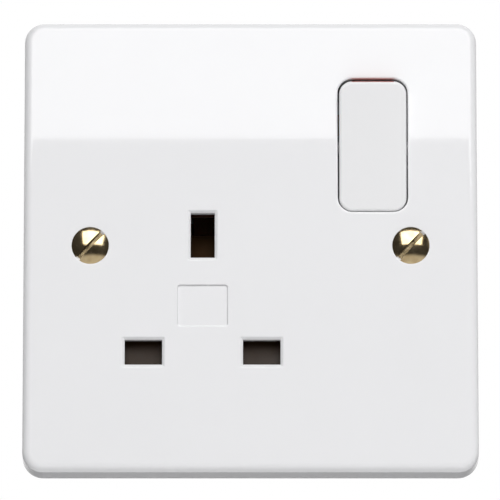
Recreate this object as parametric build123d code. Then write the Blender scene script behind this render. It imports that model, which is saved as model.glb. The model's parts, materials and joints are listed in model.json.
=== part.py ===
from build123d import *
import os
from math import cos, radians, sin, tan

# Switched wall socket, one gang, three flat pins.
# It is modelled lying on its back: x to the right, y up the wall and z out of the wall, with the wall's
# surface at z = 0 and the middle of the plate at x = y = 0. Each piece is stood up when it is written,
# so that the finished part has +Z up and faces -Y. Sizes are in millimetres and angles in degrees.

# Front plate
PLATE_W = 86.0
PLATE_H = 86.0
PLATE_DEPTH = 9.0
PLATE_CORNER = 4.0
FACE_WALL = 2.4
SKIRT_WALL = 2.2
SKIRT_DRAFT = 2.0
RIB_T = 1.2
RIB_END = 3.5
RIB_OFFSET = 20.0
EDGE_ROUND = 1.6
FACE_BACK = PLATE_DEPTH - FACE_WALL

# Pins and their slots
PIN_SPACING = 22.2
SOCKET_X = -9.0
EARTH_Y = 2.0
LINE_Y = EARTH_Y - PIN_SPACING
NEUTRAL_X = SOCKET_X - PIN_SPACING / 2
LIVE_X = SOCKET_X + PIN_SPACING / 2
EARTH_SLOT_W = 4.5
EARTH_SLOT_H = 8.5
LINE_SLOT_W = 7.0
LINE_SLOT_H = 4.7
SLOT_LEAD_IN = 0.5

# Bare square recess between the slots
PANEL_W = 9.4
PANEL_H = 7.8
PANEL_Y = -11.4
PANEL_DEPTH = 0.3
PANEL_CORNER = 0.5

# Fixing screws and the plate's bosses for them
FIXING_SPACING = 60.3
FIXING_R = 1.75
FIXING_NECK_R = 1.5
FIXING_NECK_GAP = 0.6
FIXING_TIP_BEVEL = 0.5
FIXING_LENGTH = 25.0
FIXING_HEAD_R = 3.5
FIXING_DOME = 0.9
FIXING_SLOT_W = 0.9
FIXING_SLOT_DEPTH = 1.3
FIXING_SLOT_TURN = 47.0
FIXING_HOLE_R = 2.0
FIXING_BOSS_R = 4.4
FIXING_BOSS_END = 2.0
HEAD_GAP = 0.05
RETAINER_R = 3.2
RETAINER_T = 0.8
RETAINER_GAP = 0.05

# Back moulding
BASE_SETBACK = 10.0
BASE_W = PLATE_W - 2 * BASE_SETBACK
BASE_H = 67.6
BASE_CORNER = 3.0
BASE_WALL = 1.6
BASE_FLOOR = 1.6
BASE_DEPTH = 17.0
BASE_ROUND = 0.8
RIM_Z = 2.0
LUG_ROOM = 5.15
LUG_NOTCH_DEPTH = BASE_W / 2 - FIXING_SPACING / 2 + LUG_ROOM
LUG_NOTCH_UP = 4.8
LUG_NOTCH_DOWN = 8.0
FLOOR_Z = BASE_FLOOR - BASE_DEPTH

# Screws that hold the back moulding to the plate
CASE_BOSS_R = 3.0
CASE_BOSS_SINK = 0.6
CASE_SCREW_X = BASE_W / 2 - BASE_WALL - CASE_BOSS_R + CASE_BOSS_SINK
CASE_SCREW_Y = BASE_H / 2 - BASE_WALL - CASE_BOSS_R + CASE_BOSS_SINK
CASE_TOP_SCREW_X = SOCKET_X + 12.5
CASE_SCREW_R = 1.25
CASE_SCREW_TIP = 6.0
CASE_HEAD_R = 2.5
CASE_HEAD_T = 1.4
CASE_HEAD_SINK = 1.5
CASE_SLOT_W = 0.7
CASE_SLOT_DEPTH = 0.7
PILOT_GAP = 0.05
CASE_HOLE_GAP = 0.3

# Rocker, in its window
SWITCH_FROM_SIDE = 19.95
SWITCH_X = PLATE_W / 2 - SWITCH_FROM_SIDE
SWITCH_Y = 19.2
WINDOW_W = 13.2
WINDOW_H = 25.5
WINDOW_CORNER = 2.75
WINDOW_ROUND = 0.25
ROCKER_SIDE_GAP = 0.25
ROCKER_PRESSED_GAP = 0.15
ROCKER_TILT = 4.0
ROCKER_PROUD = 0.9
ROCKER_FACE_T = 1.8
ROCKER_WALL = 1.5
ROCKER_ROUND = 0.5
ROCKER_SKIRT = 0.8
PIVOT_Z = 5.0
ROCKER_FACE = PLATE_DEPTH + ROCKER_PROUD - PIVOT_Z
ROCKER_W = WINDOW_W - 2 * ROCKER_SIDE_GAP
ROCKER_DIP = ROCKER_FACE * sin(radians(ROCKER_TILT))
ROCKER_H = 2 * (WINDOW_H / 2 - ROCKER_PRESSED_GAP - ROCKER_DIP) / cos(radians(ROCKER_TILT))
ROCKER_FLARE = (ROCKER_FACE + ROCKER_SKIRT) * tan(radians(ROCKER_TILT))
TRUNNION_R = 1.5
TRUNNION_OUT = 1.65
TRUNNION_GAP = 0.05
EAR_T = 1.4
EAR_W = 5.6
EAR_BELOW = 2.4
FLAG_W = 8.0
FLAG_T = 0.7
FLAG_H = 2.6
FLAG_DROP = 0.15
FLAG_GAP = 0.03

# Plunger in the rocker's stem
STEM_R = 2.5
STEM_END = 7.5
WEB_T = 1.2
PLUNGER_R = 1.5
PLUNGER_GAP = 0.08
PLUNGER_REACH = 10.5
PLUNGER_LENGTH = 8.0
PLUNGER_TIP_R = 0.9
TIP_GAP = 0.3

# See-saw contact and what it closes on
CONTACT_T = 1.0
CONTACT_W = 6.0
CONTACT_ARM = 8.6
CONTACT_RISE = 9.5
CONTACT_TILT = 7.0
AXLE_R = 0.7
AXLE_OUT = 1.3
AXLE_GAP = 0.05
FULCRUM_Z = PIVOT_Z - PLUNGER_REACH - TIP_GAP - CONTACT_T / 2 / cos(radians(CONTACT_RISE))
RIVET_ARM = 7.0
RIVET_HEAD_R = 1.4
RIVET_HEAD_T = 0.7
RIVET_SHANK_R = 0.7
RIVET_FIT = 0.03
CLOSED_GAP = 0.15
BRACKET_GAP = 0.3
BRACKET_EAR_W = 5.0
BRACKET_FOOT = 7.0
BRACKET_TOP = 1.1

# Stamped strips and pin clips
STRIP_T = 0.7
STRIP_W = 4.0
STRIP_BEND = 0.8
CLIP_TOP = -2.2
CLIP_NIP_Z = -5.0
CLIP_KNEE_Z = -9.0
CLIP_MOUTH = 3.3
CLIP_NIP = 2.15
CLIP_FOOT = 3.0
LINE_CLIP_W = 7.2
EARTH_CLIP_W = 8.6
LIVE_RUN_X = 10.0
LIVE_PASS_GAP = 2.4
LIVE_PASS_X = FIXING_SPACING / 2 - LUG_ROOM - BASE_WALL - LIVE_PASS_GAP - STRIP_W / 2
EARTH_TAB_X = 1.5
EARTH_TAB_Y = 0.0
EARTH_TAB_W = 5.0

# Wire terminals
TERMINAL_W = 8.0
TERMINAL_L = 9.0
TERMINAL_H = 8.0
TERMINAL_BEVEL = 0.5
TERMINAL_WALL_GAP = 0.4
WIRE_R = 2.2
WIRE_RISE = 5.2
WIRE_ENTRY_R = 2.7
CLAMP_R = 1.9
CLAMP_GAP = 0.05
CLAMP_SLOT_W = 0.8
CLAMP_SLOT_DEPTH = 1.0
CLAMP_BACK_OFF = 0.1
CLAMP_SINK = 0.4
CLAMP_ACCESS_R = 2.5
GUIDE_WALL = 0.9
GUIDE_RISE = 0.7
LIVE_TERMINAL_X = SWITCH_X - 4.05

# Earth strap across the back
STRAP_T = 0.8
STRAP_W = 7.0
STRAP_END_ROUND = 3.0
STRAP_GAP = 0.1
STRAP_BEND = STRAP_T / 2 + STRAP_GAP
STRAP_HOLE_R = 1.95
EARTH_RIVET_R = 1.4
EARTH_RIVET_HEAD_R = 2.4
EARTH_RIVET_HEAD_T = 0.7

# Shutter, its spring and the cover that guides it
SHUTTER_T = 1.9
SHUTTER_GAP = 0.2
SHUTTER_TRAVEL = 5.3
SHUTTER_LAP = 0.2
SHUTTER_BAR_END = 4.0
PIN_SLOPE_DEPTH = 1.0
PIN_SLOPE_LAP = 0.4
SHUTTER_STEM_W = 7.0
SHUTTER_WINDOW_W = 4.6
SHUTTER_END_T = 1.5
RAMP_DEPTH = 5.1
RAMP_RUN = 5.2
RAMP_BACK = 0.7
RAMP_ROOT = 2.5
SPRING_TAB_RISE = 2.5
SPRING_TAB_T = 1.2
SPRING_TAB_W = 4.0
SPRING_Z = 2.3
SHUTTER_SPRING_R = 1.5
SHUTTER_SPRING_WIRE_R = 0.22
SHUTTER_SPRING_TURNS = 8
PLUNGER_SPRING_R = 1.2
PLUNGER_SPRING_WIRE_R = 0.2
PLUNGER_SPRING_TURNS = 6
SPRING_SEAT_GAP = 0.05
COVER_T = 1.4
COVER_HALF_W = 16.2
COVER_BELOW = 8.7
COVER_GAP = 0.2
COVER_HOLE_GAP = 0.6
RAIL_T = 1.2
RAIL_RISE = 4.7
STOP_T = 1.2
POST_R = 1.5
POST_LEFT = 6.5
POST_RIGHT = 13.0

# Places that several pieces share
FIXING_PLACES = [(-FIXING_SPACING / 2, 0), (FIXING_SPACING / 2, 0)]
CASE_PLACES = [(CASE_TOP_SCREW_X, CASE_SCREW_Y), (-CASE_SCREW_X, -CASE_SCREW_Y), (CASE_SCREW_X, -CASE_SCREW_Y)]
STRIP_TOP = FLOOR_Z + STRIP_T
WIRE_Z = STRIP_TOP + WIRE_RISE
TERMINAL_Y = BASE_H / 2 - BASE_WALL - TERMINAL_WALL_GAP - TERMINAL_L / 2
TERMINAL_PLACES = {
    "live_terminal": (LIVE_TERMINAL_X, -TERMINAL_Y),
    "neutral_terminal": (NEUTRAL_X, TERMINAL_Y),
    "earth_terminal": (SOCKET_X, TERMINAL_Y),
}
SHUTTER_FRONT = FACE_BACK - SHUTTER_GAP
SHUTTER_BACK = SHUTTER_FRONT - SHUTTER_T
RAMP_TOP_Y = EARTH_Y - EARTH_SLOT_H / 2 + SHUTTER_GAP
SHUTTER_END_Y = RAMP_TOP_Y + EARTH_SLOT_H + SHUTTER_TRAVEL + SHUTTER_END_T
COVER_TOP = SHUTTER_END_Y + SHUTTER_GAP + STOP_T
COVER_BOTTOM = LINE_Y - COVER_BELOW
RAIL_START = LINE_Y + RAIL_RISE
SPRING_TAB_Y = RAIL_START + SPRING_TAB_RISE
SPRING_STOP_Y = COVER_BOTTOM + STOP_T
POST_PLACES = [
    (SOCKET_X - POST_LEFT, COVER_TOP - 2 * POST_R),
    (SOCKET_X + POST_RIGHT, COVER_TOP - 2 * POST_R),
    (SOCKET_X - POST_LEFT, COVER_BOTTOM + POST_R),
    (SOCKET_X + POST_RIGHT, COVER_BOTTOM + POST_R),
]


def block(low, high):
    """A block between two opposite corners."""
    size = [b - a for a, b in zip(low, high)]
    return Pos(*low) * Box(*size, align=(Align.MIN, Align.MIN, Align.MIN))


def post(x, y, low, high, radius):
    """A round post along z."""
    return Pos(x, y, low) * Cylinder(radius, high - low, align=(Align.CENTER, Align.CENTER, Align.MIN))


def prism(sketch, low, high):
    """A flat outline raised along z."""
    return extrude(Pos(0, 0, low) * sketch, high - low)


def folded_strip(points, thickness, width, bend):
    """A strip folded along a line of points, thickness in the plane of the line and width across it."""
    line = FilletPolyline(*points, radius=bend)
    return extrude(make_face(offset(line, thickness / 2)), width / 2, both=True)


def coil_spring(length, radius, wire_radius, turns):
    """A helical spring that stands on z = 0, with its wire inside that length."""
    rise = length - 2 * wire_radius
    helix = Helix(rise / turns, rise, radius)
    wire = Plane(origin=helix @ 0, z_dir=helix % 0) * Circle(wire_radius)
    return Pos(0, 0, wire_radius) * sweep(wire, path=helix, is_frenet=True)


def case_outline(inset):
    """Outline of the back moulding, set in by a wall, with a notch at each side for the box's lugs."""
    outline = RectangleRounded(BASE_W - 2 * inset, BASE_H - 2 * inset, BASE_CORNER - inset)
    notch = Rectangle(2 * (LUG_NOTCH_DEPTH + inset), LUG_NOTCH_UP + LUG_NOTCH_DOWN + 2 * inset)
    for side in (-1, 1):
        outline -= Pos(side * BASE_W / 2, (LUG_NOTCH_UP - LUG_NOTCH_DOWN) / 2) * notch
    return outline


def pin_slots(grow):
    """Outlines of the three pin slots, made larger all round."""
    earth = Pos(SOCKET_X, EARTH_Y) * Rectangle(EARTH_SLOT_W + 2 * grow, EARTH_SLOT_H + 2 * grow)
    line = Rectangle(LINE_SLOT_W + 2 * grow, LINE_SLOT_H + 2 * grow)
    return [earth, Pos(NEUTRAL_X, LINE_Y) * line, Pos(LIVE_X, LINE_Y) * line]


def rocker_ears():
    """The two ears behind the plate whose open notches carry the rocker's pivots."""
    ears = Part()
    for side in (-1, 1):
        middle = SWITCH_X + side * (WINDOW_W / 2 + EAR_T / 2)
        ear = Pos(middle, SWITCH_Y, PIVOT_Z - EAR_BELOW) * Box(
            EAR_T, EAR_W, FACE_BACK - PIVOT_Z + EAR_BELOW, align=(Align.CENTER, Align.CENTER, Align.MIN)
        )
        notch_r = TRUNNION_R + TRUNNION_GAP
        ear -= Pos(middle, SWITCH_Y, PIVOT_Z) * Rot(0, 90, 0) * Cylinder(notch_r, 2 * EAR_T)
        ear -= Pos(middle, SWITCH_Y, PIVOT_Z) * Box(
            2 * EAR_T, 2 * notch_r, 2 * EAR_BELOW, align=(Align.CENTER, Align.CENTER, Align.MAX)
        )
        ears += ear
    return ears


def stiffening_ribs():
    """Ribs across the back of the plate, two each way, which the case's outline cuts off."""
    ribs = Part()
    for side in (-1, 1):
        ribs += Pos(0, side * RIB_OFFSET) * prism(Rectangle(PLATE_W, RIB_T), RIB_END, FACE_BACK)
        ribs += Pos(side * RIB_OFFSET, 0) * prism(Rectangle(RIB_T, PLATE_H), RIB_END, FACE_BACK)
    return ribs


def front_plate():
    """Moulded plate: drafted skirt, rounded front edge, slots, window, bosses and the rib that meets the case."""
    shell = extrude(RectangleRounded(PLATE_W, PLATE_H, PLATE_CORNER), PLATE_DEPTH, taper=SKIRT_DRAFT)
    shell = fillet(shell.faces().sort_by(Axis.Z)[-1].edges(), EDGE_ROUND)
    inner = RectangleRounded(PLATE_W - 2 * SKIRT_WALL, PLATE_H - 2 * SKIRT_WALL, PLATE_CORNER - SKIRT_WALL)
    shell -= extrude(inner, FACE_BACK, taper=SKIRT_DRAFT)

    window = Pos(SWITCH_X, SWITCH_Y) * RectangleRounded(WINDOW_W, WINDOW_H, WINDOW_CORNER)
    shell -= prism(window, 0, PLATE_DEPTH)
    rim = shell.faces().sort_by(Axis.Z)[-1].inner_wires()[0].edges()
    shell = fillet(rim, WINDOW_ROUND)
    for slot, lead_in in zip(pin_slots(0), pin_slots(SLOT_LEAD_IN)):
        shell -= prism(slot, 0, PLATE_DEPTH)
        low, high = PLATE_DEPTH - SLOT_LEAD_IN, PLATE_DEPTH
        shell -= loft([Pos(0, 0, low) * slot, Pos(0, 0, high) * lead_in])
    panel = Pos(SOCKET_X, PANEL_Y) * RectangleRounded(PANEL_W, PANEL_H, PANEL_CORNER)
    shell -= prism(panel, PLATE_DEPTH - PANEL_DEPTH, PLATE_DEPTH)

    rib = case_outline(0) - case_outline(BASE_WALL) - window
    shell += prism(rib, RIM_Z, FACE_BACK)
    shell += stiffening_ribs() & prism(inner - case_outline(BASE_WALL), RIB_END, FACE_BACK)
    shell += rocker_ears()
    for x, y in CASE_PLACES:
        shell += post(x, y, RIM_Z, FACE_BACK, CASE_BOSS_R)
        shell -= post(x, y, RIM_Z, CASE_SCREW_TIP + PILOT_GAP, CASE_SCREW_R + PILOT_GAP)
    for x, y in FIXING_PLACES:
        shell += post(x, y, FIXING_BOSS_END, FACE_BACK, FIXING_BOSS_R)
        shell -= post(x, y, 0, PLATE_DEPTH, FIXING_HOLE_R)
        head = FIXING_HEAD_R + HEAD_GAP
        shell -= Pos(x, y, PLATE_DEPTH) * Cone(
            0, head, head, align=(Align.CENTER, Align.CENTER, Align.MAX)
        )
    return shell


def back_moulding():
    """Rear case: walls and floor, screw bosses, posts for the cover, wire entries and screw access holes."""
    case = prism(case_outline(0), -BASE_DEPTH, RIM_Z)
    case = fillet(case.faces().sort_by(Axis.Z)[0].edges(), BASE_ROUND)
    case -= prism(case_outline(BASE_WALL), FLOOR_Z, RIM_Z)
    for x, y in CASE_PLACES:
        case += post(x, y, -BASE_DEPTH, RIM_Z, CASE_BOSS_R)
        case -= post(x, y, -BASE_DEPTH, RIM_Z, CASE_SCREW_R + CASE_HOLE_GAP)
        case -= post(x, y, -BASE_DEPTH, CASE_HEAD_SINK - BASE_DEPTH, CASE_HEAD_R + CASE_HOLE_GAP)
    for x, y in POST_PLACES:
        case += post(x, y, FLOOR_Z, -COVER_T, POST_R)
    seat_x, seat_y, seat_z = fixed_rivet_place()
    case += post(seat_x, seat_y, FLOOR_Z, seat_z - STRIP_T, STRIP_W / 2)
    for x, y in TERMINAL_PLACES.values():
        case += post(x, y, -BASE_DEPTH - GUIDE_RISE, FLOOR_Z, CLAMP_ACCESS_R + GUIDE_WALL)
        case -= post(x, y, -BASE_DEPTH - GUIDE_RISE, FLOOR_Z, CLAMP_ACCESS_R)
        outward = 1 if y > 0 else -1
        wall_middle = outward * (BASE_H - BASE_WALL) / 2
        case -= Pos(x, wall_middle, WIRE_Z) * Rot(90, 0, 0) * Cylinder(WIRE_ENTRY_R, 2 * BASE_WALL)
        case -= Pos(x, wall_middle, WIRE_Z) * Box(
            2 * WIRE_ENTRY_R, 2 * BASE_WALL, WIRE_Z + BASE_DEPTH, align=(Align.CENTER, Align.CENTER, Align.MAX)
        )
    case -= post(EARTH_TAB_X, EARTH_TAB_Y, -BASE_DEPTH, FLOOR_Z, EARTH_RIVET_R + RIVET_FIT)
    return case


def at_rocker(shape):
    """Puts a shape, drawn about the pivot with the rocker level, where it is with the switch on."""
    return Pos(SWITCH_X, SWITCH_Y, PIVOT_Z) * Rot(ROCKER_TILT, 0, 0) * shape


def rocker_outer():
    """The rocker's outer form about its pivot: a flat face, rounded corners and ends that flare by the tilt."""
    corner = WINDOW_CORNER - ROCKER_SIDE_GAP
    foot = RectangleRounded(ROCKER_W, ROCKER_H + 2 * ROCKER_FLARE, corner)
    face = RectangleRounded(ROCKER_W, ROCKER_H, corner)
    outer = loft([Pos(0, 0, -ROCKER_SKIRT) * foot, Pos(0, 0, ROCKER_FACE) * face])
    return fillet(outer.faces().sort_by(Axis.Z)[-1].edges(), ROCKER_ROUND)


def flag_block(gap):
    """The pocket for the red flag in the rocker's top end, or with a gap the flag that fills it."""
    top = ROCKER_FACE - FLAG_DROP
    low = (-FLAG_W / 2 + gap, ROCKER_H / 2 - FLAG_T + gap, top - FLAG_H + gap)
    high = (FLAG_W / 2 - gap, ROCKER_H / 2 + FLAG_T, top - gap)
    return block(low, high)


def switch_rocker():
    """Hollow rocker with side pivots, a stem for the plunger and a web that ties the stem to the walls."""
    roof = ROCKER_FACE - ROCKER_FACE_T
    inner_corner = WINDOW_CORNER - ROCKER_SIDE_GAP - ROCKER_WALL
    hollow = RectangleRounded(ROCKER_W - 2 * ROCKER_WALL, ROCKER_H - 2 * ROCKER_WALL, inner_corner)
    rocker = rocker_outer() - prism(hollow, -ROCKER_SKIRT, roof)
    rocker += block((-ROCKER_W / 2, -WEB_T / 2, -ROCKER_SKIRT), (ROCKER_W / 2, WEB_T / 2, roof))
    rocker += Rot(0, 90, 0) * Cylinder(TRUNNION_R, ROCKER_W + 2 * TRUNNION_OUT)
    rocker += post(0, 0, -STEM_END, roof, STEM_R)
    rocker -= post(0, 0, -STEM_END, roof, PLUNGER_R + PLUNGER_GAP)
    return at_rocker(rocker - flag_block(0))


def rocker_flag():
    """Red insert that shows along the top edge when the switch is on."""
    return at_rocker(flag_block(FLAG_GAP) & rocker_outer())


def rocker_plunger():
    """Round plunger with a blunt tip."""
    nose = PLUNGER_REACH - PLUNGER_TIP_R
    shoulder = nose - (PLUNGER_R - PLUNGER_TIP_R)
    top = PLUNGER_LENGTH - PLUNGER_REACH
    outline = Polyline((0, -PLUNGER_REACH), (0, top), (PLUNGER_R, top), (PLUNGER_R, -shoulder))
    outline += Line((PLUNGER_R, -shoulder), (PLUNGER_TIP_R, -nose))
    outline += RadiusArc((PLUNGER_TIP_R, -nose), (0, -PLUNGER_REACH), PLUNGER_TIP_R)
    return at_rocker(revolve(Plane.XZ * make_face(outline), Axis.Z))


def plunger_spring():
    """Spring between the stem's closed end and the plunger."""
    top = ROCKER_FACE - ROCKER_FACE_T
    foot = PLUNGER_LENGTH - PLUNGER_REACH
    length = top - foot - 2 * SPRING_SEAT_GAP
    spring = coil_spring(length, PLUNGER_SPRING_R, PLUNGER_SPRING_WIRE_R, PLUNGER_SPRING_TURNS)
    return at_rocker(Pos(0, 0, foot + SPRING_SEAT_GAP) * spring)


def at_seesaw(shape):
    """Puts a shape, drawn about the see-saw's axle with the contact level, where it is with the switch on."""
    return Pos(SWITCH_X, SWITCH_Y, FULCRUM_Z) * Rot(-CONTACT_TILT, 0, 0) * shape


def arm_place():
    """Frame of the contact button on the closing arm, about the axle with the contact level."""
    return Rot(CONTACT_RISE, 0, 0) * Pos(0, RIVET_ARM, 0)


def moving_contact():
    """V-shaped see-saw strip with an axle at its fold and a hole for the contact button."""
    reach = CONTACT_ARM * cos(radians(CONTACT_RISE))
    rise = CONTACT_ARM * sin(radians(CONTACT_RISE))
    strip = Plane.YZ * folded_strip([(-reach, rise), (0, 0), (reach, rise)], CONTACT_T, CONTACT_W, CONTACT_T)
    strip += Rot(0, 90, 0) * Cylinder(AXLE_R, CONTACT_W + 2 * AXLE_OUT)
    strip -= arm_place() * Cylinder(RIVET_SHANK_R + RIVET_FIT, 2 * CONTACT_T)
    return at_seesaw(strip)


def contact_button(shank):
    """Contact button: a flat head on z = 0, facing up, and a shank below it."""
    return post(0, 0, 0, RIVET_HEAD_T, RIVET_HEAD_R) + post(0, 0, -shank, 0, RIVET_SHANK_R)


def moving_rivet():
    """Button under the closing arm."""
    button = Pos(0, 0, -CONTACT_T / 2) * Rot(180, 0, 0) * contact_button(CONTACT_T)
    return at_seesaw(arm_place() * button)


def fixed_rivet_place():
    """Foot of the fixed button's head: level, under the closed moving button."""
    slope = radians(CONTACT_RISE - CONTACT_TILT)
    drop = CONTACT_T / 2 + RIVET_HEAD_T
    y = SWITCH_Y + RIVET_ARM * cos(slope) + drop * sin(slope)
    z = FULCRUM_Z + RIVET_ARM * sin(slope) - drop * cos(slope) - CLOSED_GAP - RIVET_HEAD_T
    return SWITCH_X, y, z


def fixed_rivet():
    """Button on the end of the live strip."""
    return Pos(*fixed_rivet_place()) * contact_button(STRIP_T)


def floor_strip(low, high):
    """A flat run of strip on the case's floor, between two corners."""
    return block((*low, FLOOR_Z), (*high, STRIP_TOP))


def clamp_hole(name):
    """The hole in a strip under a terminal, for its screw."""
    return post(*TERMINAL_PLACES[name], FLOOR_Z, STRIP_TOP, CLAMP_R + CLAMP_GAP)


def switch_fulcrum():
    """Bracket with two notched ears for the see-saw's axle, and the strip past the lug to the live terminal."""
    ear_in = CONTACT_W / 2 + BRACKET_GAP
    ear_out = ear_in + STRIP_T
    foot = BRACKET_FOOT / 2
    bracket = floor_strip((SWITCH_X - ear_out, SWITCH_Y - foot), (SWITCH_X + ear_out, SWITCH_Y + foot))
    for side in (-1, 1):
        near, far = sorted((side * ear_in, side * ear_out))
        half = BRACKET_EAR_W / 2
        bracket += block(
            (SWITCH_X + near, SWITCH_Y - half, FLOOR_Z), (SWITCH_X + far, SWITCH_Y + half, FULCRUM_Z + BRACKET_TOP)
        )
    axle_r = AXLE_R + AXLE_GAP
    at_axle = Pos(SWITCH_X, SWITCH_Y, FULCRUM_Z)
    bracket -= at_axle * Rot(0, 90, 0) * Cylinder(axle_r, 3 * ear_out)
    bracket -= at_axle * Box(
        3 * ear_out, 2 * axle_r, 2 * BRACKET_TOP, align=(Align.CENTER, Align.CENTER, Align.MIN)
    )
    half = STRIP_W / 2
    x, y = TERMINAL_PLACES["live_terminal"]
    bend_y = y + TERMINAL_L / 2
    bracket += floor_strip((x - half, y - TERMINAL_L / 2), (x + half, bend_y))
    left, right = sorted((x, LIVE_PASS_X))
    bracket += floor_strip((left - half, bend_y - STRIP_W), (right + half, bend_y))
    bracket += floor_strip((LIVE_PASS_X - half, bend_y - STRIP_W), (LIVE_PASS_X + half, SWITCH_Y))
    left, right = sorted((SWITCH_X, LIVE_PASS_X))
    bracket += floor_strip((left, SWITCH_Y - foot), (right, SWITCH_Y))
    return bracket - clamp_hole("live_terminal")


def pin_clip(width):
    """Sprung clip about a pin: two leaves that nip the pin across y, joined by a foot on the case's floor."""
    foot_z = FLOOR_Z + STRIP_T / 2
    leaf = [(CLIP_MOUTH, CLIP_TOP), (CLIP_NIP, CLIP_NIP_Z), (CLIP_FOOT, CLIP_KNEE_Z), (CLIP_FOOT, foot_z)]
    other = [(-y, z) for y, z in reversed(leaf)]
    return Plane.YZ * folded_strip(leaf + other, STRIP_T, width, STRIP_BEND)


def live_contact():
    """Live clip, its strip round to the switch, and the raised end that carries the fixed button."""
    half = STRIP_W / 2
    rivet_x, rivet_y, rivet_z = fixed_rivet_place()
    contact = Pos(LIVE_X, LINE_Y) * pin_clip(LINE_CLIP_W)
    contact += floor_strip((LIVE_X, LINE_Y - half), (LIVE_RUN_X + half, LINE_Y + half))
    contact += floor_strip((LIVE_RUN_X - half, LINE_Y - half), (LIVE_RUN_X + half, rivet_y + half))
    riser_x = rivet_x - CONTACT_W / 2 - BRACKET_GAP - STRIP_W
    low, high = FLOOR_Z + STRIP_T / 2, rivet_z - STRIP_T / 2
    line = [(LIVE_RUN_X, low), (riser_x, low), (riser_x, high), (rivet_x + half, high)]
    raised = Plane.XZ * folded_strip(line, STRIP_T, STRIP_W, STRIP_BEND)
    contact += Pos(0, rivet_y, 0) * raised
    return contact - post(rivet_x, rivet_y, rivet_z - STRIP_T, rivet_z, RIVET_SHANK_R + RIVET_FIT)


def neutral_contact():
    """Neutral clip and its strip up to the terminal."""
    half = STRIP_W / 2
    x, y = TERMINAL_PLACES["neutral_terminal"]
    contact = Pos(NEUTRAL_X, LINE_Y) * pin_clip(LINE_CLIP_W)
    contact += floor_strip((x - half, LINE_Y), (x + half, y + TERMINAL_L / 2))
    return contact - clamp_hole("neutral_terminal")


def earth_contact():
    """Earth clip, its strip up to the terminal and a tab for the rivet to the strap."""
    half = STRIP_W / 2
    x, y = TERMINAL_PLACES["earth_terminal"]
    contact = Pos(SOCKET_X, EARTH_Y) * Rot(0, 0, 90) * pin_clip(EARTH_CLIP_W)
    contact += floor_strip((x - half, EARTH_Y), (x + half, y + TERMINAL_L / 2))
    tab = EARTH_TAB_W / 2
    contact += floor_strip((SOCKET_X, EARTH_TAB_Y - tab), (EARTH_TAB_X + tab, EARTH_TAB_Y + tab))
    contact -= post(EARTH_TAB_X, EARTH_TAB_Y, FLOOR_Z, STRIP_TOP, EARTH_RIVET_R + RIVET_FIT)
    return contact - clamp_hole("earth_terminal")


def terminal(name):
    """Brass block on its strip, with a wire hole along y and a tapped hole from the back."""
    x, y = TERMINAL_PLACES[name]
    body = Pos(x, y, STRIP_TOP) * Box(
        TERMINAL_W, TERMINAL_L, TERMINAL_H, align=(Align.CENTER, Align.CENTER, Align.MIN)
    )
    body = chamfer(body.edges().filter_by(Axis.Y), TERMINAL_BEVEL)
    body -= Pos(x, y, WIRE_Z) * Rot(90, 0, 0) * Cylinder(WIRE_R, 2 * TERMINAL_L)
    return body - post(x, y, STRIP_TOP, WIRE_Z, CLAMP_R + CLAMP_GAP)


def terminal_screws():
    """Headless slotted screws, backed off so that the wire holes are clear."""
    tip = WIRE_Z - WIRE_R - CLAMP_BACK_OFF
    back = CLAMP_SINK - BASE_DEPTH
    screws = []
    for x, y in TERMINAL_PLACES.values():
        slot = Pos(x, y, back) * Box(3 * CLAMP_R, CLAMP_SLOT_W, 2 * CLAMP_SLOT_DEPTH)
        screws.append(post(x, y, back, tip, CLAMP_R) - slot)
    return screws


def earth_strap():
    """Strip across the case's back, up through the lug notches and out to an eyelet at each fixing screw."""
    leg_x = BASE_W / 2 - LUG_NOTCH_DEPTH + STRAP_GAP + STRAP_T / 2
    back = -BASE_DEPTH - STRAP_T / 2
    front = FIXING_BOSS_END - STRAP_T / 2
    half = [(leg_x, back), (leg_x, front), (FIXING_SPACING / 2 + STRAP_W / 2, front)]
    line = [(-x, z) for x, z in reversed(half)] + half
    strap = Plane.XZ * folded_strip(line, STRAP_T, STRAP_W, STRAP_BEND)
    outline = RectangleRounded(FIXING_SPACING + STRAP_W, STRAP_W, STRAP_END_ROUND)
    strap &= prism(outline, back - STRAP_T, front + STRAP_T)
    for x, y in FIXING_PLACES:
        strap -= post(x, y, front - STRAP_T, front + STRAP_T, STRAP_HOLE_R)
    return strap - post(EARTH_TAB_X, EARTH_TAB_Y, back - STRAP_T, back + STRAP_T, EARTH_RIVET_R + RIVET_FIT)


def earth_rivet():
    """Rivet through the earth contact's tab, the case's floor and the strap."""
    front, back = STRIP_TOP, -BASE_DEPTH - STRAP_T
    rivet = post(EARTH_TAB_X, EARTH_TAB_Y, back, front, EARTH_RIVET_R)
    rivet += post(EARTH_TAB_X, EARTH_TAB_Y, front, front + EARTH_RIVET_HEAD_T, EARTH_RIVET_HEAD_R)
    return rivet + post(EARTH_TAB_X, EARTH_TAB_Y, back - EARTH_RIVET_HEAD_T, back, EARTH_RIVET_HEAD_R)


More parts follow.
